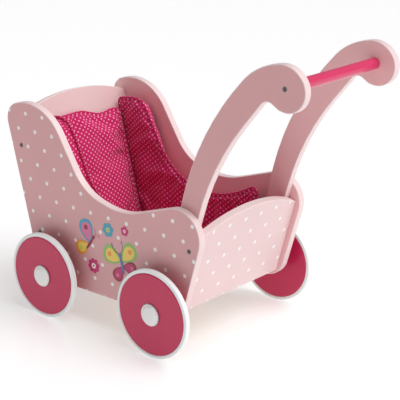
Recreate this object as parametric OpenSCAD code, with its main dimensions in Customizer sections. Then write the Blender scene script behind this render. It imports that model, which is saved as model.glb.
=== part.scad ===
// Wooden doll's pram: a tub of painted boards with a raised hood end, two curved
// handle arms joined by a bar, four disc wheels and a padded inlay that lifts out.
// +X points to the handle, -X to the hood, +Z up, and the wheels stand on z = 0.
// Front is the hood end, which leads when the pram is pushed; left is the pusher's left, -Y.

/* [Tub] */
// Width inside the tub, between the two side panels
tub_w = 216; // [180:1:260]
// Thickness of the side, head and foot panels
board_t = 12; // [9:0.5:14]
// Thickness of the floor board
floor_t = 8; // [6:0.5:10]
// Backward lean of the head panel, in degrees
head_lean = 15.4; // [12:0.1:18]
// Outward lean of the foot panel, in degrees
foot_lean = 14.9; // [12:0.1:17]

/* [Wheels] */
// Distance between the two axles
wheel_base = 217; // [200:1:220]
// Outside diameter of a wheel over its tyre
wheel_d = 130; // [110:1:140]
// Thickness of a wheel disc
disc_t = 9.4; // [8:0.1:14]
// Radial thickness of the rubber tyre
tyre_t = 5.3; // [3:0.1:8]
// Gap between a side panel and its wheels
wheel_gap = 17.5; // [12:0.5:30]
// Diameter of the steel axles
axle_d = 8; // [6:0.5:9]

/* [Handle] */
// Thickness of a handle arm
arm_t = 12; // [9:0.5:14]
// Diameter of the handle bar
bar_d = 16; // [12:0.5:24]

/* [Bedding] */
// Thickness of the mattress
mattress_t = 27; // [18:1:30]
// Thickness of the padding along each side
bumper_t = 28; // [18:1:32]
// Thickness of the padding against the head panel
cushion_t = 20; // [14:1:26]

/* [Hidden] */
$fn = 96;
arc_step = 4;              // degrees of turn between two points of a rounded corner
shaft_gap = 0.05;          // radial clearance of a rod or screw in its hole
running_gap = 0.3;         // clearance between a wheel and what stands beside it
cloth_gap = 0.6;           // clearance between the bedding and the boards
half_tub = tub_w / 2;
side_face = half_tub + board_t;
arm_face = half_tub - arm_t;
axle_z = wheel_d / 2;
front_axle_x = -170;
rear_axle_x = front_axle_x + wheel_base;
disc_r = wheel_d / 2 - tyre_t;
disc_in = side_face + wheel_gap;
disc_out = disc_in + disc_t;
washer_t = 0.8;
cap_h = 4.6;
cap_r = 15.6;
axle_half = disc_out + running_gap + washer_t + 2.6;
ENDS = ["front", "rear"];
SIDES = ["left", "right"];
function axle_x(end) = end == "front" ? front_axle_x : rear_axle_x;
function inward(end) = end == "front" ? 1 : -1;

// Each corner of an outline is [x, height above the axles, radius]
side_corners = [
    [-202, -15, 18], [-272.4, 238, 27], [-189.5, 266, 78], [-107.5, 138, 83],
    [-31.5, 121, 112], [131, 176, 41], [78.5, -12, 34]
];
arm_corners = [
    [51, 37, 8], [71, 41, 8], [120, 220.7, 390], [206.2, 327.2, 13], [225.7, 315.5, 12],
    [304.7, 300, 28.7], [247.3, 378, 37.7], [191, 369.5, 93], [75.5, 246.5, 413]
];
bar_x = 234.5;
bar_z = 344.5;             // height of the handle bar above the axles

head_foot_x = -189.6;      // outer face of the head panel at its lower edge
head_foot_z = -3;
head_mid_h = 257;          // length of the head panel up its middle
head_side_h = 238;
foot_foot_x = 73.8;        // outer face of the foot panel at its lower edge
foot_foot_z = -1;
foot_mid_h = 143.5;
foot_side_h = 121;

floor_z = 9;               // underside of the floor board above the axles
beam_w = 24;
beam_shift = 5.5;          // how far a beam sits towards the middle from its axle
bedding_z = floor_z + floor_t + 0.3;
mattress_top = bedding_z + mattress_t;
mattress_half = half_tub - bumper_t - 3 * cloth_gap;
cushion_top_z = 211;

// Faces of the two leaning panels inside the tub, or of what stands off them, at a height
function head_inner_x(z, off = 0) =
    head_foot_x + (board_t + off) / cos(head_lean) - (z - head_foot_z) * tan(head_lean);
function foot_inner_x(z, off = 0) =
    foot_foot_x - (board_t + off) / cos(foot_lean) + (z - foot_foot_z) * tan(foot_lean);

bumper_corners = [
    [head_inner_x(bedding_z, cloth_gap), bedding_z, 4],
    [head_inner_x(216, cloth_gap), 216, 9], [-181, 224, 32], [-104, 93, 112],
    [4, 108, 165], [54.5, 137, 10], [40, bedding_z, 4]
];

screw_r = 2;
screw_head_r = 3.6;
screw_l = 38;
panel_screws_head = [[-237.5, 183.6], [-202, 54.8]];
panel_screws_foot = [[92.6, 97.6], [74, 26]];
arm_screws_at = [[65, 58], [72, 98]];

// ---- outlines ----

function unit(v) = v / norm(v);
function flat(corner) = [corner[0], corner[1]];

// Points of one rounded corner, from the side that comes before it to the one after
function corner_arc(before, corner, after, r) =
    let (back = unit(before - corner), ahead = unit(after - corner))
    let (half = acos(back * ahead) / 2)
    let (centre = corner + unit(back + ahead) * r / sin(half))
    let (first = corner + back * r / tan(half) - centre)
    let (last = corner + ahead * r / tan(half) - centre)
    let (from = atan2(first[1], first[0]))
    let (turn = (atan2(last[1], last[0]) - from + 540) % 360 - 180)
    let (steps = ceil(abs(turn) / arc_step))
    [for (i = [0 : steps])
        centre + r * [cos(from + turn * i / steps), sin(from + turn * i / steps)]];

function rounded_outline(corners) =
    let (n = len(corners))
    [for (i = [0 : n - 1]) each corner_arc(
        flat(corners[(i + n - 1) % n]), flat(corners[i]), flat(corners[(i + 1) % n]), corners[i][2])];

// ---- placing ----

// Raises what is drawn about the axle line to its height above the ground
module on_axles() {
    translate([0, 0, axle_z]) children();
}

// Draws for the right side, and mirrors it for the left
module on_side(side) {
    mirror([0, side == "left" ? 1 : 0, 0]) children();
}

// A board cut from an outline in x and z, between two distances from the middle plane
module board(outline, inner_y, outer_y) {
    translate([0, outer_y, 0]) rotate([90, 0, 0]) linear_extrude(outer_y - inner_y) polygon(outline);
}

// Puts local +Z along +Y, at a point given by x and height
module across(x, z, y = 0) {
    translate([x, y, z]) rotate([-90, 0, 0]) children();
}

// A bore right through everything along Y, about a point given by x and height
module cross_bore(x, z, r) {
    across(x, z, -400) cylinder(r = r, h = 800);
}

// ---- fasteners ----

// Countersunk wood screw, head at z = 0 facing down, shank towards +Z
module wood_screw(length) {
    difference() {
        union() {
            cylinder(r = screw_head_r, h = 0.8);
            translate([0, 0, 0.8]) cylinder(r1 = screw_head_r, r2 = screw_r, h = 1.8);
            cylinder(r = screw_r, h = length - 3);
            translate([0, 0, length - 3]) cylinder(r1 = screw_r, r2 = 0.5, h = 3);
        }
        for (turn = [0, 90]) rotate(turn) translate([-2.2, -0.45, -1]) cube([4.4, 0.9, 2.1]);
    }
}

// The hole that a wood screw sits in, its head sunk below the face at z = 0
module screw_hole(length, sink) {
    translate([0, 0, -1]) cylinder(r = screw_head_r + 0.2, h = sink + 1);
    translate([0, 0, sink]) cylinder(r = screw_head_r + shaft_gap, h = 0.8 + shaft_gap);
    translate([0, 0, sink + 0.8]) cylinder(r1 = screw_head_r + 0.1, r2 = screw_r + shaft_gap, h = 1.9);
    translate([0, 0, sink]) cylinder(r = screw_r + shaft_gap, h = length + 0.2);
}

panel_sink = 0.8;
module at_panel_screws(points, side) {
    for (p = points) on_side(side) on_axles()
        translate([p[0], side_face, p[1]]) rotate([90, 0, 0]) children();
}

arm_screw_l = 18;
module at_arm_screws(side) {
    for (p = arm_screws_at) on_side(side) on_axles() across(p[0], p[1], arm_face) children();
}

bar_screw_l = 42;
module at_bar_screws(side) {
    on_side(side) on_axles() translate([bar_x, half_tub, bar_z]) rotate([90, 0, 0]) children();
}

floor_screw_l = 20;
module at_floor_screws() {
    for (end = ENDS) for (side = [-1, 1])
        translate([axle_x(end) + inward(end) * 9, side * half_tub * 0.6, axle_z + floor_z + floor_t])
            rotate([180, 0, 0]) children();
}

module panel_screws(points) {
    color("dimgray") for (side = SIDES)
        at_panel_screws(points, side) translate([0, 0, panel_sink]) wood_screw(screw_l);
}
module arm_screws() {
    color("dimgray") for (side = SIDES)
        at_arm_screws(side) translate([0, 0, 0.3]) wood_screw(arm_screw_l);
}
module bar_screws() {
    color("dimgray") for (side = SIDES)
        at_bar_screws(side) translate([0, 0, panel_sink]) wood_screw(bar_screw_l);
}
module floor_screws() {
    color("silver") at_floor_screws() translate([0, 0, 0.3]) wood_screw(floor_screw_l);
}

// ---- boards ----

module side_panel(side) {
    color("pink") difference() {
        on_side(side) on_axles() board(rounded_outline(side_corners), half_tub, side_face);
        on_axles() for (end = ENDS) cross_bore(axle_x(end), 0, axle_d / 2 + shaft_gap);
        at_panel_screws(concat(panel_screws_head, panel_screws_foot), side) screw_hole(screw_l, panel_sink);
        at_arm_screws(side) screw_hole(arm_screw_l, 0.3);
    }
}

// Board with an arched top that stands in the tub and leans in the x direction.
// Its outer face starts at the lower edge, and t is its thickness, signed towards the tub.
module arched_board(mid_h, side_h, lean, t) {
    rise = mid_h - side_h;
    arch_r = (half_tub * half_tub + rise * rise) / (2 * rise);
    rotate([0, lean, 0]) rotate([90, 0, 90]) translate([0, 0, min(t, 0)])
        linear_extrude(abs(t)) intersection() {
            translate([-half_tub, 0]) square([tub_w, mid_h]);
            translate([0, mid_h - arch_r]) circle(arch_r, $fn = 360);
        }
}

module head_panel() {
    color("pink") difference() {
        translate([head_foot_x, 0, axle_z + head_foot_z])
            arched_board(head_mid_h, head_side_h, -head_lean, board_t);
        for (side = SIDES) at_panel_screws(panel_screws_head, side) screw_hole(screw_l, panel_sink);
    }
}

module foot_panel() {
    color("pink") difference() {
        translate([foot_foot_x, 0, axle_z + foot_foot_z])
            arched_board(foot_mid_h, foot_side_h, foot_lean, -board_t);
        for (side = SIDES) at_panel_screws(panel_screws_foot, side) screw_hole(screw_l, panel_sink);
    }
}

// Outline with sloping ends, at two distances from the head and the foot panel
function between_panels(low, high, head_off, foot_off) = [
    [head_inner_x(low, head_off), low], [foot_inner_x(low, foot_off), low],
    [foot_inner_x(high, foot_off), high], [head_inner_x(high, head_off), high]
];

module floor_panel() {
    color("burlywood") difference() {
        on_axles() board(between_panels(floor_z, floor_z + floor_t, 0.1, 0.1), -half_tub, half_tub);
        at_floor_screws() screw_hole(floor_screw_l, 0.3);
    }
}

module axle_beam(end) {
    color("burlywood") difference() {
        on_axles() translate([axle_x(end) + inward(end) * beam_shift - beam_w / 2, -half_tub, -floor_z])
            cube([beam_w, tub_w, 2 * floor_z]);
        on_axles() cross_bore(axle_x(end), 0, axle_d / 2 + shaft_gap);
        at_floor_screws() screw_hole(floor_screw_l, 0.3);
    }
}

// ---- handle ----

module handle_arm(side) {
    color("pink") difference() {
        on_side(side) on_axles() board(rounded_outline(arm_corners), arm_face, half_tub);
        at_arm_screws(side) screw_hole(arm_screw_l, 0.3);
        at_bar_screws(side) screw_hole(bar_screw_l, panel_sink);
    }
}

module handle_bar() {
    color("deeppink") difference() {
        on_axles() across(bar_x, bar_z, -arm_face) cylinder(d = bar_d, h = 2 * arm_face);
        for (side = SIDES) at_bar_screws(side) screw_hole(bar_screw_l, panel_sink);
    }
}

// ---- running gear ----

module at_wheel(end, side, y) {
    on_side(side) on_axles() across(axle_x(end), 0, y) children();
}

module axle_rod(end) {
    color("silver") on_axles() across(axle_x(end), 0, -axle_half)
        cylinder(d = axle_d, h = 2 * axle_half);
}

// A turned ring from a profile of [radius, height] points
module turned(profile) {
    rotate_extrude() polygon(profile);
}

module spacer(end, side) {
    color("white") at_wheel(end, side, side_face) difference() {
        cylinder(r = axle_d / 2 + 3, h = wheel_gap - running_gap);
        translate([0, 0, -1]) cylinder(r = axle_d / 2 + shaft_gap, h = wheel_gap + 2);
    }
}

// Painted disc, its rim rounded over on both faces
module wheel_disc(end, side) {
    edge = 1.6;
    bore = axle_d / 2 + shaft_gap;
    color("mediumvioletred") at_wheel(end, side, disc_in) turned(concat(
        [[bore, 0]],
        [for (a = [-90 : 15 : 0]) [disc_r - edge + edge * cos(a), edge + edge * sin(a)]],
        [for (a = [0 : 15 : 90]) [disc_r - edge + edge * cos(a), disc_t - edge + edge * sin(a)]],
        [[bore, disc_t]]
    ));
}

// Rubber band round the disc, with soft shoulders
module tyre(end, side) {
    inset = 0.5;
    edge = 1.8;
    out_r = wheel_d / 2;
    low = inset + 1.2;
    high = disc_t - low;
    color("whitesmoke") at_wheel(end, side, disc_in) turned(concat(
        [[disc_r, low], [disc_r + 0.6, inset]],
        [for (a = [-90 : 15 : 0]) [out_r - edge + edge * cos(a), inset + edge + edge * sin(a)]],
        [for (a = [0 : 15 : 90]) [out_r - edge + edge * cos(a), disc_t - inset - edge + edge * sin(a)]],
        [[disc_r + 0.6, disc_t - inset], [disc_r, high]]
    ));
}

// Toothed push-on washer that holds the wheel on its axle
module lock_washer(end, side) {
    teeth = 20;
    washer_r = cap_r + 0.9;
    color("silver") at_wheel(end, side, disc_out + running_gap) difference() {
        cylinder(r = washer_r, h = washer_t);
        translate([0, 0, -1]) cylinder(r = axle_d / 2 + shaft_gap, h = washer_t + 2);
        for (i = [1 : teeth]) rotate(360 * i / teeth)
            translate([washer_r + 0.3, 0, -1]) cylinder(r = 1.1, h = washer_t + 2);
    }
}

// Domed cap over the end of the axle
module hub_cap(end, side) {
    seat = disc_out + running_gap + washer_t;
    flat_r = cap_r - 2.4;
    socket = axle_half - seat + 0.2;
    color("white") at_wheel(end, side, seat) turned(concat(
        [[axle_d / 2 + shaft_gap, 0], [cap_r, 0], [cap_r, 1.6]],
        [for (a = [15 : 15 : 75]) [flat_r + 2.4 * cos(a), 1.6 + (cap_h - 2.2) * sin(a)]],
        [[flat_r, cap_h - 0.6], [flat_r * 0.6, cap_h - 0.2], [0, cap_h], [0, socket],
         [axle_d / 2 + shaft_gap, socket]]
    ));
}

// ---- bedding ----

module mattress() {
    outline = between_panels(bedding_z, mattress_top, cushion_t + cloth_gap, cloth_gap);
    color("crimson") on_axles() board(outline, -mattress_half, mattress_half);
}

module head_cushion() {
    low = bedding_z;
    high = cushion_top_z;
    color("crimson") on_axles() board([
        [head_inner_x(low, cloth_gap), low], [head_inner_x(low, cushion_t), low],
        [head_inner_x(high, cushion_t), high - 4], [head_inner_x(high, cloth_gap), high]
    ], -mattress_half, mattress_half);
}

module side_bumper(side) {
    color("crimson") on_side(side) on_axles()
        board(rounded_outline(bumper_corners), half_tub - cloth_gap - bumper_t, half_tub - cloth_gap);
}

// ---- assembly ----

side_panel("left");  // side_panel_left
side_panel("right");  // side_panel_right
head_panel();
foot_panel();
floor_panel();
handle_arm("left");  // handle_arm_left
handle_arm("right");  // handle_arm_right
handle_bar();
panel_screws(panel_screws_head);  // head_panel_screws
panel_screws(panel_screws_foot);  // foot_panel_screws
arm_screws();
bar_screws();
floor_screws();
mattress();
head_cushion();
side_bumper("left");  // side_bumper_left
side_bumper("right");  // side_bumper_right

for (end = ENDS) {
    axle_beam(end);
    axle_rod(end);
    for (side = SIDES) {
        place = str("_", end, "_", side);
        spacer(end, side);
        lock_washer(end, side);
        hub_cap(end, side);
        wheel_disc(end, side);
        tyre(end, side);
    }
}
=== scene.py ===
import bpy
import bmesh
import math
from mathutils import Matrix, Vector, noise
from mathutils.geometry import delaunay_2d_cdt


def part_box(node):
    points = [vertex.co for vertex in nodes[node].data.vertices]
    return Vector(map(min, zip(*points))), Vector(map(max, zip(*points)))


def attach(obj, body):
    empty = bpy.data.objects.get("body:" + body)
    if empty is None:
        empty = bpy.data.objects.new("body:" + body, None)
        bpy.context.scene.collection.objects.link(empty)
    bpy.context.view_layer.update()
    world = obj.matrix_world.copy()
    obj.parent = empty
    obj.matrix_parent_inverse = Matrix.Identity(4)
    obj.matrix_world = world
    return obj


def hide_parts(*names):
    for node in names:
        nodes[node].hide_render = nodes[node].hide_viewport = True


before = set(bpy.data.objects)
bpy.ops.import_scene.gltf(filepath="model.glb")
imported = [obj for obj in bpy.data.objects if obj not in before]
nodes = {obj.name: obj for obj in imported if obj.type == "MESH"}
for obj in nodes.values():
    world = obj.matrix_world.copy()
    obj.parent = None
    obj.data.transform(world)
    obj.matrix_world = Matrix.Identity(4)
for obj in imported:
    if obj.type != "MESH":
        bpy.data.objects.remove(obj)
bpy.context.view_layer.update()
mm = 0.001
print("pram frame loaded,", len(nodes), "parts")


cameraSet = {
    "place": (1140.8, -1351.9, 777.9),  # mm
    "yaw": 39.89,       # degrees to the left of +Y
    "pitch": 18.499,    # degrees down
    "roll": 0.784,
    "lens": 114.9,
}


def makeCamera(s):
    yaw, pitch, roll = (math.radians(s[k]) for k in ("yaw", "pitch", "roll"))
    forward = Vector((-math.sin(yaw) * math.cos(pitch), math.cos(yaw) * math.cos(pitch), -math.sin(pitch)))
    right = Vector((math.cos(yaw), math.sin(yaw), 0))
    up = right.cross(forward)
    side = right * math.cos(roll) + up * math.sin(roll)
    top = up * math.cos(roll) - right * math.sin(roll)
    data = bpy.data.cameras.new("camera")
    data.lens = s["lens"]
    data.sensor_width = 36
    data.clip_end = 50
    camera = bpy.data.objects.new("camera", data)
    bpy.context.scene.collection.objects.link(camera)
    turn = Matrix((side, top, -forward)).transposed().to_4x4()
    camera.matrix_world = Matrix.Translation(Vector(s["place"]) * mm) @ turn
    bpy.context.scene.camera = camera


makeCamera(cameraSet)

lightSet = {
    "overhead": 0.28,     # sky straight above
    "horizon": 0.45,      # sky just over the floor
    "keyFrom": (0.46, 0.20, 0.86),
    "keyPower": 2.25,
    "keySpread": 60,      # degrees, how soft the shadows are
    "sideFrom": (0.93, 0.30, 0.22),
    "sidePower": 0.35,
    "sideSpread": 60,
    "paper": 0.78,
    "paperGlow": 0.355,   # the floor is a lit table, so its shadows stay light
}


def makeSun(name, comesFrom, power, spread):
    data = bpy.data.lights.new(name, "SUN")
    data.energy = power
    data.angle = math.radians(spread)
    sun = bpy.data.objects.new(name, data)
    bpy.context.scene.collection.objects.link(sun)
    sun.rotation_mode = "QUATERNION"
    sun.rotation_quaternion = Vector(comesFrom).to_track_quat("Z", "Y")


def makeSky(s):
    world = bpy.data.worlds.new("studio")
    bpy.context.scene.world = world
    world.use_nodes = True
    tree = world.node_tree
    spot = tree.nodes.new("ShaderNodeTexCoord")
    apart = tree.nodes.new("ShaderNodeSeparateXYZ")
    fade = tree.nodes.new("ShaderNodeMapRange")
    fade.inputs["From Min"].default_value = 0.05
    fade.inputs["From Max"].default_value = 0.25
    fade.inputs["To Min"].default_value = s["horizon"]
    fade.inputs["To Max"].default_value = s["overhead"]
    tree.links.new(spot.outputs["Generated"], apart.inputs[0])
    tree.links.new(apart.outputs[2], fade.inputs[0])
    tree.links.new(fade.outputs[0], tree.nodes["Background"].inputs["Strength"])
    tree.nodes["Background"].inputs["Color"].default_value = (1, 1, 1, 1)


def makeStudio(s):
    makeSun("keyLight", s["keyFrom"], s["keyPower"], s["keySpread"])
    makeSun("sideLight", s["sideFrom"], s["sidePower"], s["sideSpread"])
    makeSky(s)
    bpy.ops.mesh.primitive_plane_add(size=60)
    floor = bpy.context.active_object
    floor.name = "studioFloor"
    paper = bpy.data.materials.new("studioFloor")
    paper.use_nodes = True
    coat = paper.node_tree.nodes["Principled BSDF"]
    coat.inputs["Base Color"].default_value = (s["paper"], s["paper"], s["paper"], 1)
    coat.inputs["Emission Color"].default_value = (1, 1, 1, 1)
    coat.inputs["Emission Strength"].default_value = s["paperGlow"]
    coat.inputs["Roughness"].default_value = 0.3
    coat.inputs["Specular IOR Level"].default_value = 0.35
    floor.data.materials.append(paper)


makeStudio(lightSet)
bpy.context.scene.view_settings.view_transform = "Standard"
print("camera, lights and floor ready")


# builds one material, node by node
class Shader:
    def __init__(self, name):
        self.material = bpy.data.materials.new(name)
        self.material.use_nodes = True
        self.tree = self.material.node_tree
        self.skin = self.tree.nodes["Principled BSDF"]

    def node(self, kind, **inputs):
        made = self.tree.nodes.new(kind)
        for key, value in inputs.items():
            self.feed(made.inputs[key], value)
        return made

    def feed(self, socket, value):
        if isinstance(value, bpy.types.NodeSocket):
            self.tree.links.new(value, socket)
        else:
            socket.default_value = value

    def math(self, how, a, b=0.0, c=None):
        made = self.tree.nodes.new("ShaderNodeMath")
        made.operation = how
        for socket, value in zip(made.inputs, (a, b, c)):
            if value is not None:
                self.feed(socket, value)
        return made.outputs[0]

    def place(self):  # the point in the frame, in millimetres, as x, y and z
        spot = self.tree.nodes.new("ShaderNodeTexCoord").outputs["Object"]
        scaled = self.tree.nodes.new("ShaderNodeVectorMath")
        scaled.operation = "SCALE"
        scaled.inputs["Scale"].default_value = 1000
        self.tree.links.new(spot, scaled.inputs[0])
        apart = self.tree.nodes.new("ShaderNodeSeparateXYZ")
        self.tree.links.new(scaled.outputs[0], apart.inputs[0])
        return scaled.outputs[0], apart.outputs[0], apart.outputs[1], apart.outputs[2]

    def noise(self, where, size, detail=2.0, rough=0.5):  # size is in millimetres
        made = self.node("ShaderNodeTexNoise", Vector=where, Scale=1 / size, Detail=detail, Roughness=rough)
        return made.outputs["Fac"]

    def ramp(self, value, low, high, start=0.0, end=1.0, smooth=False):
        made = self.node("ShaderNodeMapRange", Value=value)
        made.interpolation_type = "SMOOTHSTEP" if smooth else "LINEAR"
        for key, number in (("From Min", start), ("From Max", end), ("To Min", low), ("To Max", high)):
            made.inputs[key].default_value = number
        return made.outputs[0]

    def mix(self, amount, first, second):
        made = self.tree.nodes.new("ShaderNodeMix")
        made.data_type = "RGBA"
        self.feed(made.inputs[0], amount)
        for socket, value in ((made.inputs[6], first), (made.inputs[7], second)):
            self.feed(socket, (*value, 1) if isinstance(value, tuple) else value)
        return made.outputs[2]

    def bump(self, height, depth, strength=1.0):  # depth is in millimetres
        made = self.node("ShaderNodeBump", Height=height)
        made.inputs["Distance"].default_value = depth * mm
        made.inputs["Strength"].default_value = strength
        return made.outputs[0]

    def finish(self, color, rough, normal, **fixed):
        self.feed(self.skin.inputs["Base Color"], (*color, 1) if isinstance(color, tuple) else color)
        self.feed(self.skin.inputs["Roughness"], rough)
        self.tree.links.new(normal, self.skin.inputs["Normal"])
        for key, value in fixed.items():
            self.skin.inputs[key.replace("_", " ")].default_value = value
        return self.material


# one board paint in several copies: pink is the paint itself, set a little darker and redder for faces turned
# away from the light, which is painted shade
paintSet = {
    "pink": (0.76, 0.395, 0.405),
    # lighter copies of the same paint for the head's inner face, the inner faces, the foot panel and the
    # edges: painted light where those faces catch more light
    "pinkHeadPaintedLight": (0.85, 0.59, 0.595),
    "pinkInsidePaintedLight": (0.92, 0.53, 0.54),
    "pinkFootPaintedLight": (0.85, 0.625, 0.63),
    "pinkEdgePaintedLight": (0.90, 0.70, 0.70),
    "dot": (0.95, 0.90, 0.89),
    "dotSize": 6.0,      # mm across
    "acrossStep": 35.25,
    "rowStep": 24.76,
    "rowShift": 19.4,
}


def dotPrint(s, where, u, v, d):  # 1 inside a dot of a staggered lattice, and 0 between them
    v = s.math("DIVIDE", s.math("SUBTRACT", d["topRow"], v), d["rowStep"])
    u = s.math("SUBTRACT", u, s.math("MULTIPLY_ADD", v, d["rowShift"], d["first"]))
    u = s.math("DIVIDE", u, d["acrossStep"])
    u, v = (s.math("SUBTRACT", s.math("FRACT", s.math("ADD", k, 0.5)), 0.5) for k in (u, v))
    away = s.math("MULTIPLY_ADD", v, d["rowShift"], s.math("MULTIPLY", u, d["acrossStep"]))
    down = s.math("MULTIPLY", v, d["rowStep"])
    far = s.math("SQRT", s.math("ADD", s.math("MULTIPLY", away, away), s.math("MULTIPLY", down, down)))
    wobble = s.ramp(s.noise(where, d["dotSize"] / 4), -d["dotSize"] / 24, d["dotSize"] / 24)
    edge, soft = d["dotSize"] / 2, d["dotSize"] / 24
    return s.ramp(s.math("ADD", far, wobble), 1, 0, edge - soft, edge + soft, True)


def paint(name, color, shine=0.38, dots=None):
    s = Shader(name)
    where, x, y, z = s.place()
    cloudy = s.noise(where, 70)
    fine = s.noise(where, 2.2, 3)
    shade = s.mix(s.ramp(cloudy, 0.0, 0.5, 0.3, 0.7), color, tuple(c * 0.93 for c in color))
    if dots:
        lattice = dict(paintSet, topRow=dots["topRow"], first=dots["first"])
        lattice["rowStep"] = paintSet["rowStep"] * dots["lean"]
        inside = dotPrint(s, where, x if dots["across"] == "x" else y, z, lattice)
        shade = s.mix(inside, shade, paintSet["dot"])
    normal = s.bump(fine, 0.035, 0.6)
    gloss = s.ramp(fine, shine - 0.05, shine + 0.08)
    return s.finish(shade, gloss, normal, Coat_Weight=0.25, Coat_Roughness=0.25)


boardPink = paint("boardPink", paintSet["pink"])
# lighter copies of the board paint, painted light for the inner faces, the head's inner face and the edges
insidePinkPaintedLight = paint("insidePinkPaintedLight", paintSet["pinkInsidePaintedLight"])
headPinkPaintedLight = paint("headPinkPaintedLight", paintSet["pinkHeadPaintedLight"])
edgePinkPaintedLight = paint("edgePinkPaintedLight", paintSet["pinkEdgePaintedLight"])
# where the first dot of the top row lies, and how much the board's slope lowers the rows
dotsOf = {
    "side": {"across": "x", "topRow": 298.6, "first": -191.0, "lean": 1},
    "foot": {"across": "y", "topRow": 184.3, "first": 22.7, "lean": 0.966},
    "head": {"across": "y", "topRow": 300.0, "first": 4.0, "lean": 0.964},
}
sideDots = paint("sideDots", paintSet["pink"], dots=dotsOf["side"])
# the foot panel's dots lie on a lighter copy of the paint, painted light for its lit face
footDotsPaintedLight = paint("footDotsPaintedLight", paintSet["pinkFootPaintedLight"], dots=dotsOf["foot"])
headDots = paint("headDots", paintSet["pink"], dots=dotsOf["head"])
discPaint = paint("discPaint", (0.60, 0.008, 0.085), 0.34)
barPaint = paint("barPaint", (0.72, 0.03, 0.135), 0.28)


def plastic(name, color, rough):
    s = Shader(name)
    where = s.place()[0]
    fine = s.noise(where, 1.4, 2)
    shade = s.mix(s.ramp(s.noise(where, 25), 0, 0.6, 0.35, 0.65), color, tuple(c * 0.95 for c in color))
    return s.finish(shade, s.ramp(fine, rough - 0.05, rough + 0.08), s.bump(fine, 0.02, 0.5))


tyreRubber = plastic("tyreRubber", (0.93, 0.96, 0.96), 0.5)
capPlastic = plastic("capPlastic", (0.95, 0.96, 0.94), 0.3)


def metal(name, color, rough):
    s = Shader(name)
    where = s.place()[0]
    streak = s.noise(where, 0.9, 3)
    gloss = s.ramp(streak, rough - 0.08, rough + 0.12)
    return s.finish(color, gloss, s.bump(streak, 0.01, 0.4), Metallic=1.0)


bareSteel = metal("bareSteel", (0.60, 0.61, 0.63), 0.3)
darkSteel = metal("darkSteel", (0.20, 0.18, 0.18), 0.45)


def wood(name, light, dark, grain):  # grain is the direction the fibres run in
    s = Shader(name)
    where = s.place()[0]
    drawn = s.tree.nodes.new("ShaderNodeVectorMath")
    drawn.operation = "MULTIPLY"
    s.tree.links.new(where, drawn.inputs[0])
    drawn.inputs[1].default_value = [0.05 if g else 1.0 for g in grain]
    rings = s.noise(drawn.outputs[0], 5.0, 4, 0.6)
    fibre = s.noise(drawn.outputs[0], 0.5, 3)
    shade = s.mix(s.ramp(rings, 0, 1, 0.35, 0.68), light, dark)
    shade = s.mix(s.ramp(fibre, 0.0, 0.25, 0.45, 0.75), shade, tuple(c * 0.6 for c in dark))
    return s.finish(shade, s.ramp(fibre, 0.45, 0.65), s.bump(fibre, 0.06, 0.6))


birchAcross = wood("birchAcross", (0.76, 0.61, 0.46), (0.62, 0.45, 0.30), (0, 1, 0))
birchAlong = wood("birchAlong", (0.76, 0.62, 0.47), (0.64, 0.48, 0.33), (1, 0, 0))

cottonSet = {
    "ground": (0.62, 0.012, 0.125),
    "worn": (0.70, 0.03, 0.17),
    "dot": (0.95, 0.42, 0.60),
    "dotSize": 2.5,
    "acrossStep": 9.0,
    "rowStep": 3.9,
    "rowShift": 4.5,
    "topRow": 0.0,
    "first": 0.0,
    "threadHollowShade": (0.25, 0.0, 0.03),  # painted shade in the hollow between two threads
    "thread": 0.55,     # mm from one thread of the weave to the next
}


def cotton(name, d=cottonSet):
    s = Shader(name)
    mark = s.tree.nodes.new("ShaderNodeAttribute")
    mark.attribute_name = "clothAt"
    where = mark.outputs["Vector"]
    apart = s.node("ShaderNodeSeparateXYZ", Vector=where)
    u, v = apart.outputs[0], apart.outputs[1]
    faded = s.mix(s.ramp(s.noise(where, 40, 3), 0, 0.5, 0.35, 0.7), d["ground"], d["worn"])
    printed = s.mix(dotPrint(s, where, u, v, d), faded, d["dot"])
    turns = 2 * math.pi / d["thread"]
    over, under = (s.math("SINE", s.math("MULTIPLY", k, turns)) for k in (u, v))
    weave = s.math("MULTIPLY_ADD", s.math("MULTIPLY", over, under), 0.5, 0.5)
    slub = s.noise(where, 1.1, 3)
    # painted shade: the low points of the weave are darkened toward the hollow colour
    shade = s.mix(s.ramp(weave, 0.16, 0.0), printed, d["threadHollowShade"])
    normal = s.bump(s.math("ADD", weave, s.math("MULTIPLY", slub, 1.4)), 0.09, 0.8)
    return s.finish(shade, s.ramp(slub, 0.78, 0.95), normal, Sheen_Weight=0.25, Sheen_Roughness=0.4,
                    Specular_IOR_Level=0.2)


dottedCotton = cotton("dottedCotton")


def thread(name, color):
    s = Shader(name)
    where = s.place()[0]
    twist = s.noise(where, 0.35, 2)
    shade = s.mix(s.ramp(twist, 0, 1, 0.35, 0.65), color, tuple(c * 0.7 for c in color))
    return s.finish(shade, 0.6, s.bump(twist, 0.05), Sheen_Weight=0.2)


sewingThread = thread("sewingThread", (0.60, 0.012, 0.10))
print("finishes ready")


boardSet = {
    "edgeRound": 1.3,     # mm
    "edgeSteps": 3,
    "sharpFrom": math.radians(50),  # edges that turn by more than this are rounded
    "flatTo": math.radians(0.5),    # faces that turn by less than this are one face
    "holeRim": 60,        # outlines shorter than this are screw holes and stay crisp
    "faceDepth": 1.5,     # mm a painted face may lie below the outermost point
}


def wholeFaces(shape):  # joins the triangles of a flat side into one face
    bmesh.ops.remove_doubles(shape, verts=shape.verts, dist=1e-6)
    bmesh.ops.dissolve_limit(shape, angle_limit=boardSet["flatTo"], verts=shape.verts, edges=shape.edges)


def edgeLoops(edges):  # the edges sorted into sets that hang together
    waiting, loops = set(edges), []
    while waiting:
        loop, reach = [], [waiting.pop()]
        while reach:
            edge = reach.pop()
            loop.append(edge)
            near = {e for v in edge.verts for e in v.link_edges if e in waiting}
            waiting -= near
            reach += near
        loops.append(loop)
    return loops


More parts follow.
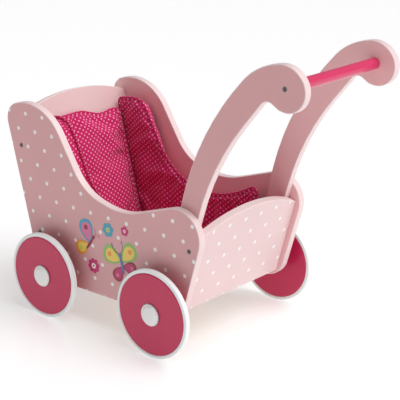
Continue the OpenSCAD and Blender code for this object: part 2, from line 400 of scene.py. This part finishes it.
def softenedBoard(node, faceOut, faceFinish, name, plainFinish=boardPink):
    mesh = nodes[node].data.copy()
    mesh.materials.clear()
    shape = bmesh.new()
    shape.from_mesh(mesh)
    wholeFaces(shape)
    inner = [e for e in shape.edges if len(e.link_faces) == 2]
    sharp = [e for e in inner if e.calc_face_angle(0) > boardSet["sharpFrom"]]
    holeRim = boardSet["holeRim"] * mm
    outer = [loop for loop in edgeLoops(sharp) if sum(e.calc_length() for e in loop) > holeRim]
    bmesh.ops.bevel(shape, geom=[e for loop in outer for e in loop], offset=boardSet["edgeRound"] * mm,
                    segments=boardSet["edgeSteps"], profile=0.5, affect="EDGES", clamp_overlap=True)
    shape.to_mesh(mesh)
    shape.free()
    for finish in (plainFinish, faceFinish, edgePinkPaintedLight):
        mesh.materials.append(finish)
    outward = Vector(faceOut).normalized()
    painted = max(v.co.dot(outward) for v in mesh.vertices) - boardSet["faceDepth"] * mm
    for p in mesh.polygons:
        p.use_smooth = True
        facing = p.normal.dot(outward)
        if facing > 0.999 and p.center.dot(outward) > painted:
            p.material_index = 1
        # faces that turn away from the flat sides take the lighter edge copy of the paint, painted light
        # along the edges
        elif abs(facing) < 0.97:
            p.material_index = 2
    board = bpy.data.objects.new(name, mesh)
    bpy.context.scene.collection.objects.link(board)
    even = board.modifiers.new("evenNormals", "WEIGHTED_NORMAL")
    even.keep_sharp = True
    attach(board, "frame")
    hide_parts(node)


lean = {"head": math.radians(15.4), "foot": math.radians(14.9)}
softenedBoard("side_panel_left", (0, -1, 0), sideDots, "leftSideBoard", insidePinkPaintedLight)
softenedBoard("side_panel_right", (0, 1, 0), sideDots, "rightSideBoard", insidePinkPaintedLight)
softenedBoard("head_panel", (-math.cos(lean["head"]), 0, -math.sin(lean["head"])), headDots, "headBoard",
              headPinkPaintedLight)
softenedBoard("foot_panel", (math.cos(lean["foot"]), 0, -math.sin(lean["foot"])), footDotsPaintedLight, "footBoard")
softenedBoard("handle_arm_left", (0, -1, 0), boardPink, "leftHandleArm", insidePinkPaintedLight)
softenedBoard("handle_arm_right", (0, 1, 0), boardPink, "rightHandleArm", insidePinkPaintedLight)
print("boards softened")


# the bedding: each pad is cut as two layers of cloth, blown up as a cushion and hemmed along its seam

padSet = {
    "grid": 4.4,         # mm between the points of the cloth
    "rowHigh": 0.866,    # rows of points lie this part of the grid apart
    "seamFree": 0.7,     # no point is nearer to the seam than this part of the grid
    "frontFull": 0.7,    # how far each layer is swollen before the simulation
    "backFull": 0.9,
    "waveHigh": 0.5,
    "waveLong": 22,
    "pressure": 4.0,
    "spare": 0.06,       # extra cloth, which puckers
    "steps": 18,
    "puckerStep": 11.0,  # mm between two puckers along the seam
    "puckerDeep": 0.9,
    "puckerDrift": 2.6,  # mm a pucker strays along the seam
    "driftLong": 13,
    "puckerRise": 4,     # mm from the seam to the full pucker
    "puckerFade": 9,
    "frontGive": 0.4,    # the part kept of what swells past the front
}

hemSet = {
    "wide": 2.6,         # mm
    "inside": 1.05,      # how far it reaches in and out from the seam, in widths
    "outside": 1.75,
    "thick": 1.5,
    "around": 8,
    "uneven": 0.16,      # how much its width changes
    "lift": 0.7,
    "turnedIn": 1.6,     # mm of cloth from one line of points to the next
    "stitchStep": 3.6,
    "stitchLong": 2.2,
    "stitchOut": 0.75,
    "stitchSunk": 0.98,
    "stitchEnds": [(-0.5, 0.12), (-0.3, 0.28), (0.3, 0.28), (0.5, 0.12)],  # along it, and half its thickness
}


def evenly(outline, step):  # points at equal steps round a closed outline
    sides = [(b - a).length for a, b in zip(outline, outline[1:] + outline[:1])]
    count = max(8, round(sum(sides) / step))
    points, side, walked = [], 0, 0.0
    for i in range(count):
        at = sum(sides) * i / count
        while walked + sides[side] < at:
            walked += sides[side]
            side += 1
        a, b = outline[side], outline[(side + 1) % len(outline)]
        points.append(a.lerp(b, (at - walked) / sides[side]))
    return points


def area(outline):
    return sum(a.x * b.y - b.x * a.y for a, b in zip(outline, outline[1:] + outline[:1])) / 2


def pulledIn(outline, by):  # a smaller outline, for a hem that still fits the space
    out = []
    for i, p in enumerate(outline):
        along = (outline[(i + 1) % len(outline)] - outline[i - 1]).normalized()
        out.append(p + Vector((-along.y, along.x)) * by)
    return out


def outlineOf(node, facing):  # the outline of a CAD solid's flat side, in mm, as x and z
    shape = bmesh.new()
    shape.from_mesh(nodes[node].data)
    wholeFaces(shape)
    flat = max((f for f in shape.faces if f.normal.y * facing > 0.99), key=lambda f: f.calc_area())
    outline = [Vector((v.co.x, v.co.z)) / mm for v in flat.verts]
    shape.free()
    return outline if area(outline) > 0 else outline[::-1]


def cutCloth(rim, step):  # points and triangles that fill the rim, which comes first
    low = Vector((min(p.x for p in rim), min(p.y for p in rim)))
    high = Vector((max(p.x for p in rim), max(p.y for p in rim)))
    inner = []
    row = 0
    y = low.y
    while y < high.y:
        x = low.x + (row % 2) * step / 2
        while x < high.x:
            p = Vector((x, y))
            if fromRim(p, rim)[0] > step * padSet["seamFree"] and isInside(p, rim):
                inner.append(p)
            x += step
        y += step * padSet["rowHigh"]
        row += 1
    points = rim + inner
    edges = [(i, (i + 1) % len(rim)) for i in range(len(rim))]
    made = delaunay_2d_cdt(points, edges, [], 1, 1e-5)
    where = {tuple(round(c, 3) for c in p): i for i, p in enumerate(points)}
    order = [where[tuple(round(c, 3) for c in p)] for p in made[0]]
    return points, [tuple(order[i] for i in face) for face in made[2]]


def isInside(p, rim):
    inside = False
    for a, b in zip(rim, rim[1:] + rim[:1]):
        if (a.y > p.y) != (b.y > p.y) and p.x < (b.x - a.x) * (p.y - a.y) / (b.y - a.y) + a.x:
            inside = not inside
    return inside


def fromRim(p, rim):  # how far the rim is, and the nearest of its points
    i = min(range(len(rim)), key=lambda k: (rim[k] - p).length_squared)
    return (rim[i] - p).length, i


def newPiece(name, points, faces, finish, clothAt=None):
    mesh = bpy.data.meshes.new(name)
    mesh.from_pydata([p * mm for p in points], [], faces)
    mesh.materials.append(finish)
    for p in mesh.polygons:
        p.use_smooth = True
    if clothAt:
        mark = mesh.attributes.new("clothAt", "FLOAT_VECTOR", "POINT")
        for spot, at in zip(mark.data, clothAt):
            spot.vector = at
    piece = bpy.data.objects.new(name, mesh)
    bpy.context.scene.collection.objects.link(piece)
    return piece


def blowUp(piece, seam):  # cloth simulation with the seam held, kept as the new shape
    held = piece.vertex_groups.new(name="seam")
    held.add(list(range(seam)), 1.0, "REPLACE")
    cloth = piece.modifiers.new("blowUp", "CLOTH")
    c = cloth.settings
    c.quality = 6
    c.mass = 0.2
    c.tension_stiffness = 15
    c.compression_stiffness = 15
    c.shear_stiffness = 5
    c.bending_stiffness = 0.2
    c.use_pressure = True
    c.uniform_pressure_force = padSet["pressure"]
    c.vertex_group_mass = "seam"
    c.shrink_min = -padSet["spare"]
    c.effector_weights.gravity = 0
    cloth.point_cache.frame_end = padSet["steps"]
    for frameNow in range(1, padSet["steps"] + 1):
        bpy.context.scene.frame_set(frameNow)
    blown = piece.evaluated_get(bpy.context.evaluated_depsgraph_get())
    moved = [v.co / mm for v in blown.to_mesh().vertices]
    blown.to_mesh_clear()
    piece.modifiers.remove(cloth)
    piece.vertex_groups.remove(held)
    bpy.context.scene.frame_set(1)
    return moved


def layers(flat, rim, deep, s):  # both layers of cloth, a little swollen, with the seam points first
    start, layer = [], []
    for side in (1, -1):
        for i, p in enumerate(flat):
            if i < len(rim):
                if side == 1:
                    start.append(Vector((p.x, p.y, s["seamAt"])))
                    layer.append(0)
                continue
            swell = math.sqrt(1 - (1 - min(1, deep[i][0] / s["shoulder"])) ** 2)
            if side == 1:
                reach = (s["front"] - s["seamAt"]) * padSet["frontFull"]
            else:
                reach = (s["back"] - s["seamAt"]) * padSet["backFull"]
            place = Vector((p.x / padSet["waveLong"], p.y / padSet["waveLong"], s["seed"] + side))
            wave = padSet["waveHigh"] * noise.noise(place)
            start.append(Vector((p.x, p.y, s["seamAt"] + reach * swell + wave)))
            layer.append(side)
    return start, layer


def pucker(far, along, s):  # the small fold of the cloth at a distance from the seam and along it
    drift = padSet["puckerDrift"] * math.sin(along / padSet["driftLong"] + s["seed"])
    ripple = math.sin(2 * math.pi * (along + drift) / padSet["puckerStep"])
    fade = min(1, far / padSet["puckerRise"]) * math.exp(-far / padSet["puckerFade"])
    return padSet["puckerDeep"] * ripple * fade


def within(low, value, high):
    return max(low, min(high, value))


def makePad(name, node, rim, spot, s):
    # spot(u, v, w) is the point of the frame at u and v on the cloth and w off the board behind it
    rim = evenly(rim, padSet["grid"])
    flat, faces = cutCloth(rim, padSet["grid"])
    seam = len(rim)
    deep = [fromRim(p, rim) for p in flat]
    start, layer = layers(flat, rim, deep, s)
    back = {i: i + len(flat) - seam for i in range(seam, len(flat))}
    skin = faces + [tuple(back.get(i, i) for i in f)[::-1] for f in faces]
    clothAt = [(p.x, p.y, 0) for p in start]
    piece = newPiece(name, [spot(*p) for p in start], skin, dottedCotton, clothAt)
    origin = spot(0, 0, 0)
    axes = [spot(*a) - origin for a in ((1, 0, 0), (0, 1, 0), (0, 0, 1))]
    if axes[0].cross(axes[1]).dot(axes[2]) < 0:
        piece.data.flip_normals()
    moved = blowUp(piece, seam)
    for i, vert in enumerate(piece.data.vertices):
        if layer[i] == 0:
            continue
        now = moved[i] - origin
        now = Vector([now.dot(a) for a in axes])
        step = now - start[i]
        if step.length > s["most"]:
            now = start[i] + step.normalized() * s["most"]
        onFlat = i if layer[i] == 1 else i - len(flat) + seam
        far, near = deep[onFlat]
        now.z += layer[i] * pucker(far, near * padSet["grid"], s)
        swollen = s["front"] + padSet["frontGive"] * max(0, now.z - s["front"])
        now.z = within(s["back"], now.z, swollen)
        now.x = within(s["low"][0], now.x, s["high"][0])
        now.y = within(s["low"][1], now.y, s["high"][1])
        vert.co = spot(*now) * mm
        if layer[i] < 0:  # the print runs on over the side of the pad
            edge = rim[near]
            out = (flat[onFlat] - edge).normalized() * math.hypot(far, now.z - s["seamAt"])
            piece.data.attributes["clothAt"].data[i].vector = (edge.x + out.x, edge.y + out.y, 0)
    smooth(piece)
    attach(piece, "bedding")
    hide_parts(node)
    print(name, "sewn,", len(piece.data.vertices), "points")
    return [piece, makeHem(name + "Hem", rim, spot, s), makeStitches(name + "Stitches", rim, spot, s)]


def smooth(piece):
    smoother = piece.modifiers.new("smooth", "SUBSURF")
    smoother.levels = 1
    smoother.render_levels = 1


def hemLift(at, s):  # how far the hem strays off the seam, at a point counted along it
    return hemSet["lift"] * noise.noise(Vector((at * 0.45, s["seed"], 5)))


def makeHem(name, rim, spot, s):  # a flat tube of cloth round the seam
    count, ring = len(rim), hemSet["around"]
    centre = (hemSet["outside"] - hemSet["inside"]) / 2
    reach = (hemSet["outside"] + hemSet["inside"]) / 2
    points, at, faces = [], [], []
    for i, p in enumerate(rim):
        along = (rim[(i + 1) % count] - rim[i - 1]).normalized()
        outward = Vector((along.y, -along.x))
        wide = hemSet["wide"] * (1 + hemSet["uneven"] * noise.noise(Vector((i * 0.9, s["seed"], 0))))
        for k in range(ring):
            turn = 2 * math.pi * k / ring
            side = outward * (wide * (centre + reach * math.cos(turn)))
            height = s["seamAt"] + hemLift(i, s) + hemSet["thick"] * math.sin(turn)
            points.append(spot(p.x + side.x, p.y + side.y, height))
            at.append((i * padSet["grid"], k * hemSet["turnedIn"], 0))
    for i in range(count):
        for k in range(ring):
            a, b = i * ring + k, i * ring + (k + 1) % ring
            c, d = ((i + 1) % count) * ring + (k + 1) % ring, ((i + 1) % count) * ring + k
            faces.append((a, b, c, d))
    hem = newPiece(name, points, faces, dottedCotton, at)
    smooth(hem)
    fixNormals(hem)
    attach(hem, "bedding")
    return hem


def makeStitches(name, rim, spot, s):  # short threads on top of the hem
    count = len(rim)
    points, faces = [], []
    for n in range(int(count * padSet["grid"] / hemSet["stitchStep"])):
        place = n * hemSet["stitchStep"] / padSet["grid"]
        i, part = int(place) % count, place % 1
        along = (rim[(i + 1) % count] - rim[i]).normalized()
        outward = Vector((along.y, -along.x))
        p = rim[i].lerp(rim[(i + 1) % count], part) + outward * hemSet["wide"] * hemSet["stitchOut"]
        base = len(points)
        top = s["seamAt"] + hemLift(i + part, s) + hemSet["thick"] * hemSet["stitchSunk"]
        for end, size in hemSet["stitchEnds"]:
            for a, b in ((1, 0), (0, 1), (-1, 0), (0, -1)):
                q = p + along * end * hemSet["stitchLong"] + outward * a * size
                points.append(spot(q.x, q.y, top + b * size))
        for j in range(3):
            for k in range(4):
                faces.append((base + j * 4 + k, base + j * 4 + (k + 1) % 4,
                              base + j * 4 + 4 + (k + 1) % 4, base + j * 4 + 4 + k))
        faces.append((base + 3, base + 2, base + 1, base))
        faces.append((base + 12, base + 13, base + 14, base + 15))
    stitches = newPiece(name, points, faces, sewingThread)
    fixNormals(stitches)
    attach(stitches, "bedding")
    return stitches


def fixNormals(piece):
    shape = bmesh.new()
    shape.from_mesh(piece.data)
    bmesh.ops.recalc_face_normals(shape, faces=shape.faces)
    shape.to_mesh(piece.data)
    shape.free()


bumperLook = {
    "seamAt": 21.0,     # mm off the board behind the pad, as front and back are
    "front": 27.5,
    "back": 0.6,
    "shoulder": 20.0,   # mm over which the pad swells to its full thickness
    "most": 14.0,       # mm that the simulation may move a point
    "fill": 0.6,
}
bumperSet = {
    "hemRoom": 4.4,     # mm kept free for the hem
    "proud": 6,         # mm that the top stands above the CAD solid
    "proudFrom": 140,
    "sagFrom": 150,
    "over": 110,        # mm of height over which either sets in
    "sagDeep": 20,      # mm off the board where the sag is full
    "spare": 0.4,
}


def sideBumper(name, side, slump):
    node = "side_bumper_left" if side < 0 else "side_bumper_right"
    b = bumperSet
    outline = pulledIn(outlineOf(node, side), b["hemRoom"])
    for p in outline:
        p.y += b["proud"] * within(0, (p.y - b["proudFrom"]) / b["over"], 1)
    low, high = (Vector(c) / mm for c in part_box(node))
    board = low.y if side < 0 else high.y
    look = dict(bumperLook, seed=3.0 if side < 0 else 8.0, low=(low.x + b["spare"], low.z + b["spare"]),
                high=(high.x - b["spare"], high.z + b["proud"] - b["spare"]))
    sewn = makePad(name, node, outline, lambda u, v, w: Vector((u, board - side * w, v)), look)
    for piece in sewn:  # the top sags in over the bed
        for vert in piece.data.vertices:
            up = within(0, (vert.co.z / mm - b["sagFrom"]) / b["over"], 1)
            off = within(0, side * (board - vert.co.y / mm) / b["sagDeep"], 1)
            vert.co.y -= side * slump * mm * up * up * (3 - 2 * up) * off


headLook = {"seamAt": 8.0, "front": 21.5, "back": 0.6, "shoulder": 42.0, "most": 12.0, "fill": 0.5,
            "seed": 5.0}
headSet = {
    "thick": 20,        # mm, of the CAD cushion
    "bottom": 5,        # mm above the cushion's lowest edge, along its slope
    "corner": 4,
    "topLow": 184,      # where the lowest corner of the top seam would be
    "topMost": 206,
    "narrower": 8,      # mm it draws in beside the bumper that sags
    "narrowFrom": 60,
    "narrowOver": 90,
    "halfTop": 74,      # half the width the top seam is given for
    # the top seam rises and dips: across, and how much higher than topLow
    "topSeam": [(-74, 12), (-60, 15), (-35, 15), (-15, 16), (0, 15), (14, 10), (30, 5), (42, 5), (58, 8),
                (74, 6)],
    "spare": 0.4,
}


def headPad(name, look):
    d = headSet
    low, high = (Vector(c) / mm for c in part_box("head_cushion"))
    tilt = lean["head"]
    half = high.y + d["spare"]
    across = Vector((math.cos(tilt), 0, math.sin(tilt)))
    along = Vector((-math.sin(tilt), 0, math.cos(tilt)))
    start = Vector((high.x - d["thick"] / math.cos(tilt), 0, low.z))
    low0, side0 = d["bottom"], d["bottom"] + d["corner"]
    top = [Vector((u * half / d["halfTop"], d["topLow"] + s)) for u, s in reversed(d["topSeam"])]
    rim = [Vector((-half, side0)), Vector((-half + d["corner"], low0)),
           Vector((half - d["corner"], low0)), Vector((half, side0))] + top
    for p in rim:
        p.x = max(p.x, -half + d["narrower"] * within(0, (p.y - d["narrowFrom"]) / d["narrowOver"], 1))
    look = dict(look, low=(-half, d["spare"]), high=(half, d["topMost"]))
    makePad(name, "head_cushion", rim,
            lambda u, s, w: start + Vector((0, u, 0)) + along * s + across * w, look)


mattressLook = {"seamAt": 10.0, "front": 27.0, "back": 0.4, "shoulder": 38.0, "most": 12.0, "fill": 0.55,
                "seed": 12.0}
mattressSet = {
    "headRoom": 4,      # mm from the ends and sides of the CAD mattress to the seam
    "footRoom": 9.5,
    "sideRoom": 0.5,
    "corner": 6,
    "headMost": -2,     # mm from the same ends to where the cloth must stop
    "footMost": 3,
}


def mattressPad(name, look):
    d = mattressSet
    low, high = (Vector(c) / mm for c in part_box("mattress"))
    x0, x1, y1, cut = low.x + d["headRoom"], high.x - d["footRoom"], high.y - d["sideRoom"], d["corner"]
    rim = [Vector(p) for p in ((x0 + cut, -y1), (x1 - cut, -y1), (x1, -y1 + cut), (x1, y1 - cut),
                               (x1 - cut, y1), (x0 + cut, y1), (x0, y1 - cut), (x0, -y1 + cut))]
    look = dict(look, low=(low.x + d["headMost"], -y1), high=(high.x - d["footMost"], y1))
    makePad(name, "mattress", rim, lambda u, v, w: Vector((u, v, low.z + w)), look)


sideBumper("leftBumper", -1, 9)
sideBumper("rightBumper", 1, 1.5)
headPad("headPad", headLook)
mattressPad("mattressPad", mattressLook)
print("bedding made")


# painted motifs on the left side, as thin closed shapes on the face of the board

motifSet = {
    "thick": 0.25,      # mm
    "layer": 0.10,
    "blue": (0.07, 0.36, 0.52), "pink": (0.80, 0.17, 0.36), "wine": (0.33, 0.01, 0.04),
    "orange": (0.88, 0.33, 0.05), "yellow": (0.92, 0.66, 0.12), "green": (0.30, 0.55, 0.14),
    "indigo": (0.13, 0.17, 0.42), "purple": (0.36, 0.10, 0.42), "magenta": (0.60, 0.02, 0.17),
    "cream": (0.94, 0.90, 0.82), "lime": (0.62, 0.70, 0.15),
}
inks = {key: paint("ink" + key.capitalize(), value, 0.35) for key, value in motifSet.items()
        if isinstance(value, tuple)}


def petal(base, turn, long, wide, fat=0.5):  # a drop that widens away from its base, less so when fat is low
    points = []
    for k in range(28):
        a = 2 * math.pi * k / 28
        x = 0.5 - 0.5 * math.cos(a)
        points.append(Vector((long * x, wide * 0.62 * math.sin(a) * x ** fat)))
    spin = Matrix.Rotation(math.radians(turn), 2)
    return [Vector(base) + spin @ p for p in points]


def oval(centre, turn, long, wide):
    spin = Matrix.Rotation(math.radians(turn), 2)
    ring = [2 * math.pi * k / 24 for k in range(24)]
    return [Vector(centre) + spin @ Vector((long / 2 * math.cos(a), wide / 2 * math.sin(a))) for a in ring]


def feeler(start, end, bend, wide=1.1):  # a thin curved line with a small knob
    start, end = Vector(start), Vector(end)
    across = Vector((-(end - start).y, (end - start).x))
    line = [start.lerp(end, t / 8) + across * bend * math.sin(math.pi * t / 8) for t in range(9)]
    sides = []
    for i, p in enumerate(line):
        along = (line[min(8, i + 1)] - line[max(0, i - 1)]).normalized()
        sides.append((p + Vector((-along.y, along.x)) * wide / 2, p - Vector((-along.y, along.x)) * wide / 2))
    return [a for a, b in sides][::-1] + [b for a, b in sides], oval(end, 0, wide * 2.4, wide * 2.4)


def wing(base, turn, long, wide, rim, fill, spot):  # a petal with a smaller one and an oval on it
    out = Vector((math.cos(math.radians(turn)), math.sin(math.radians(turn))))
    base = Vector(base)
    return [(petal(base, turn, long, wide), rim, 0),
            (petal(base + out * long * 0.10, turn, long * 0.76, wide * 0.70), fill, 1),
            (oval(base + out * long * 0.66, turn, long * 0.20, wide * 0.26), spot, 2)]


def flower(centre, petals, reach, wide, color, heart, heartWide):
    shapes = []
    for k in range(petals):
        shapes.append((petal(centre, 360 * k / petals + 12, reach, wide, 0.35), color, k % 2 * 0.5))
    return shapes + [(oval(centre, 0, heartWide, heartWide), heart, 2),
                     (oval(centre, 0, heartWide * 0.4, heartWide * 0.4), color, 3)]


def paintMotif(name, shapes):
    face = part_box("side_panel_left")[0][1] / mm
    points, faces, looks, used = [], [], [], []
    for outline, color, layer in shapes:
        if area(outline) < 0:
            outline = outline[::-1]
        top = face - motifSet["thick"] - layer * motifSet["layer"]
        n, base = len(outline), len(points)
        points += [Vector((p.x, top, p.y)) for p in outline] + [Vector((p.x, face, p.y)) for p in outline]
        made = [tuple(base + i for i in range(n)), tuple(base + n + i for i in range(n))[::-1]]
        made += [(base + (i + 1) % n, base + i, base + n + i, base + n + (i + 1) % n) for i in range(n)]
        if color not in used:
            used.append(color)
        faces += made
        looks += [used.index(color)] * len(made)
    piece = newPiece(name, points, faces, inks[used[0]])
    for color in used[1:]:
        piece.data.materials.append(inks[color])
    for p, look in zip(piece.data.polygons, looks):
        p.material_index, p.use_smooth = look, False
    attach(piece, "frame")


def feelers(start, ends, color):
    return [(part, color, 0) for end, bend in ends for part in feeler(start, end, bend)]


paintMotif("smallButterfly", wing((-96, 127), 108, 38, 29, "blue", "pink", "wine")
           + wing((-97, 127), 209, 30, 23, "orange", "yellow", "lime")
           + [(oval((-96, 127.5), 55, 24, 4.4), "wine", 3), (oval((-88.6, 138.6), 0, 5.4, 5.4), "wine", 4)]
           + feelers((-87.6, 140), [((-77, 142), 0.25), ((-86, 151), -0.2)], "pink"))
paintMotif("largeButterfly", wing((-33, 115), 164, 37, 30, "green", "yellow", "orange")
           + wing((-33, 115), 49, 38, 29, "green", "yellow", "orange")
           + wing((-31, 108), 238, 27, 21, "wine", "magenta", "pink")
           + wing((-30.5, 108), 6, 27, 21, "wine", "magenta", "pink")
           + [(oval((-31.6, 110.5), 105, 28, 5), "indigo", 3),
              (oval((-35.4, 124.6), 0, 5.8, 5.8), "indigo", 4)]
           + feelers((-36, 126), [((-33, 145), -0.18), ((-52, 138), 0.2)], "purple"))
paintMotif("blueFlower", flower((-59.4, 157.1), 6, 11, 8.4, "blue", "lime", 7.4))
paintMotif("smallFlower", flower((-26.8, 162.9), 5, 7.4, 6.6, "magenta", "cream", 4.8))
paintMotif("largeFlower", flower((-88.6, 94.7), 8, 11.6, 7.2, "magenta", "cream", 8.4))
print("motifs painted")


# hub caps with a flange, a groove and a domed top

capSet = {
    "outline": [(4.1, 0), (15.0, 0), (15.6, 0.4), (15.6, 1.2), (15.2, 1.6), (14.0, 1.75), (13.5, 1.35),
                (13.1, 1.45), (12.9, 2.6), (12.2, 3.5), (10.6, 4.1), (7.5, 4.45), (3.5, 4.58), (0, 4.6),
                (0, 2.8), (4.1, 2.8)],   # radius and height over the washer, mm
    "around": 72,
}


def hubCap(node, name):
    low, high = (Vector(c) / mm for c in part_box(node))
    centre = (low + high) / 2
    side = 1 if centre.y > 0 else -1
    seat = low.y if side > 0 else high.y
    ring = [k for k, p in enumerate(capSet["outline"]) if p[0] > 0]
    count = capSet["around"]
    points, index = [], {}
    for k, (radius, height) in enumerate(capSet["outline"]):
        index[k] = len(points)
        for n in range(count if k in ring else 1):
            a = 2 * math.pi * n / count
            points.append(Vector((centre.x + radius * math.cos(a), seat + side * height,
                                  centre.z + radius * math.sin(a))))
    faces, total = [], len(capSet["outline"])
    for k in range(total):
        j = (k + 1) % total
        for n in range(count):
            m = (n + 1) % count
            quad = [index[k] + (n if k in ring else 0), index[j] + (n if j in ring else 0),
                    index[j] + (m if j in ring else 0), index[k] + (m if k in ring else 0)]
            quad = list(dict.fromkeys(quad))
            if len(quad) > 2:
                faces.append(quad)
    cap = newPiece(name, points, faces, capPlastic)
    fixNormals(cap)
    even = cap.modifiers.new("evenNormals", "WEIGHTED_NORMAL")
    even.keep_sharp = True
    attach(cap, "frame")
    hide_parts(node)


for end in ("front", "rear"):
    for side in ("left", "right"):
        hubCap("hub_cap_%s_%s" % (end, side), "%s%sHubCap" % (end, side.capitalize()))
print("hub caps turned")


def dress(node, finish):
    slots = nodes[node].data.materials
    slots.clear()
    slots.append(finish)


finishOf = {"wheel_disc": discPaint, "tyre": tyreRubber, "lock_washer": bareSteel, "axle_rod": bareSteel,
            "axle_beam": birchAcross, "floor_panel": birchAlong, "spacer": capPlastic, "handle_bar": barPaint}
for node in nodes:
    if node.endswith("screws"):
        dress(node, darkSteel)
    for start, finish in finishOf.items():
        if node.startswith(start):
            dress(node, finish)
print("parts dressed")
